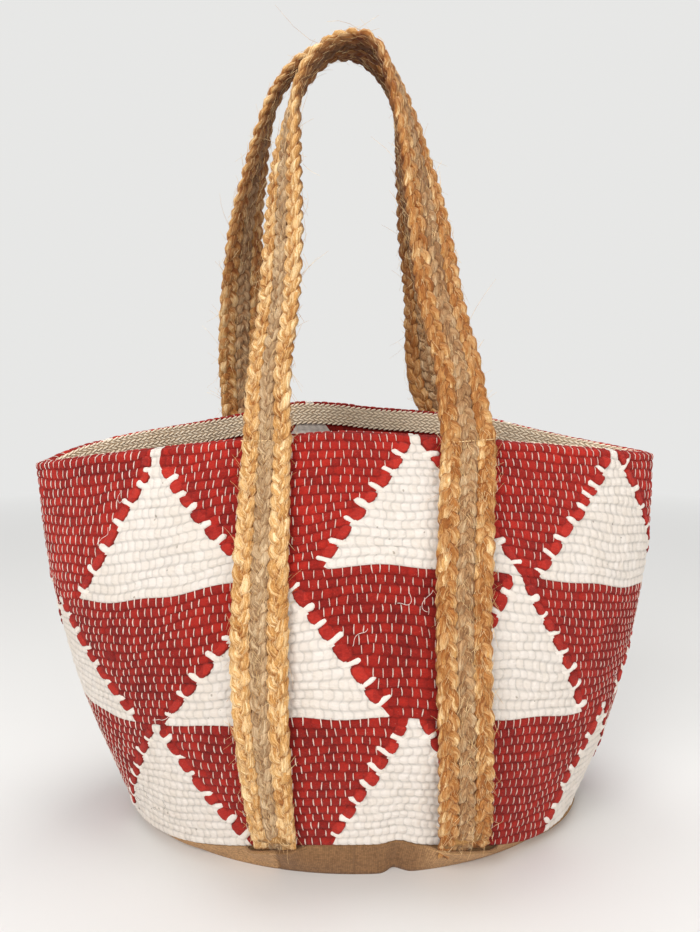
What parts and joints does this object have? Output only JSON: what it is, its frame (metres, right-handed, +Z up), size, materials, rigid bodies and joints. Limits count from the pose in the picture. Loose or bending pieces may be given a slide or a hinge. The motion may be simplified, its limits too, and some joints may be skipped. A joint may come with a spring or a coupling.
{
  "type": "cotton beach bag",
  "caption": "Soft open beach tote woven from red and white cotton in a triangle pattern, with standing plaited jute handles and a canvas base.",
  "frame": {"origin": "on the ground, under the middle of the bag's bounding box", "axes": "+Z up, +X along the wide side of the bag to the viewer's right, -Y towards the front"},
  "size_m": [0.4542, 0.2524, 0.5579],
  "materials": {
    "woven_cotton": "thick plain weave, matt",
    "base_canvas": "coarse jute canvas, matt",
    "herringbone_tape": "herringbone cotton tape, matt",
    "golden_jute": "plaited jute fibre, slight sheen",
    "grey_jute": "plaited jute fibre, slight sheen"
  },
  "bodies": {
    "root": {"woven_body": "woven_cotton", "base_panel": "base_canvas", "rim_tape": "herringbone_tape", "front_handle_outer_braid": "golden_jute", "front_handle_middle_braid": "grey_jute", "front_handle_inner_braid": "golden_jute", "back_handle_outer_braid": "golden_jute", "back_handle_middle_braid": "grey_jute", "back_handle_inner_braid": "golden_jute"}
  },
  "joints": []
}
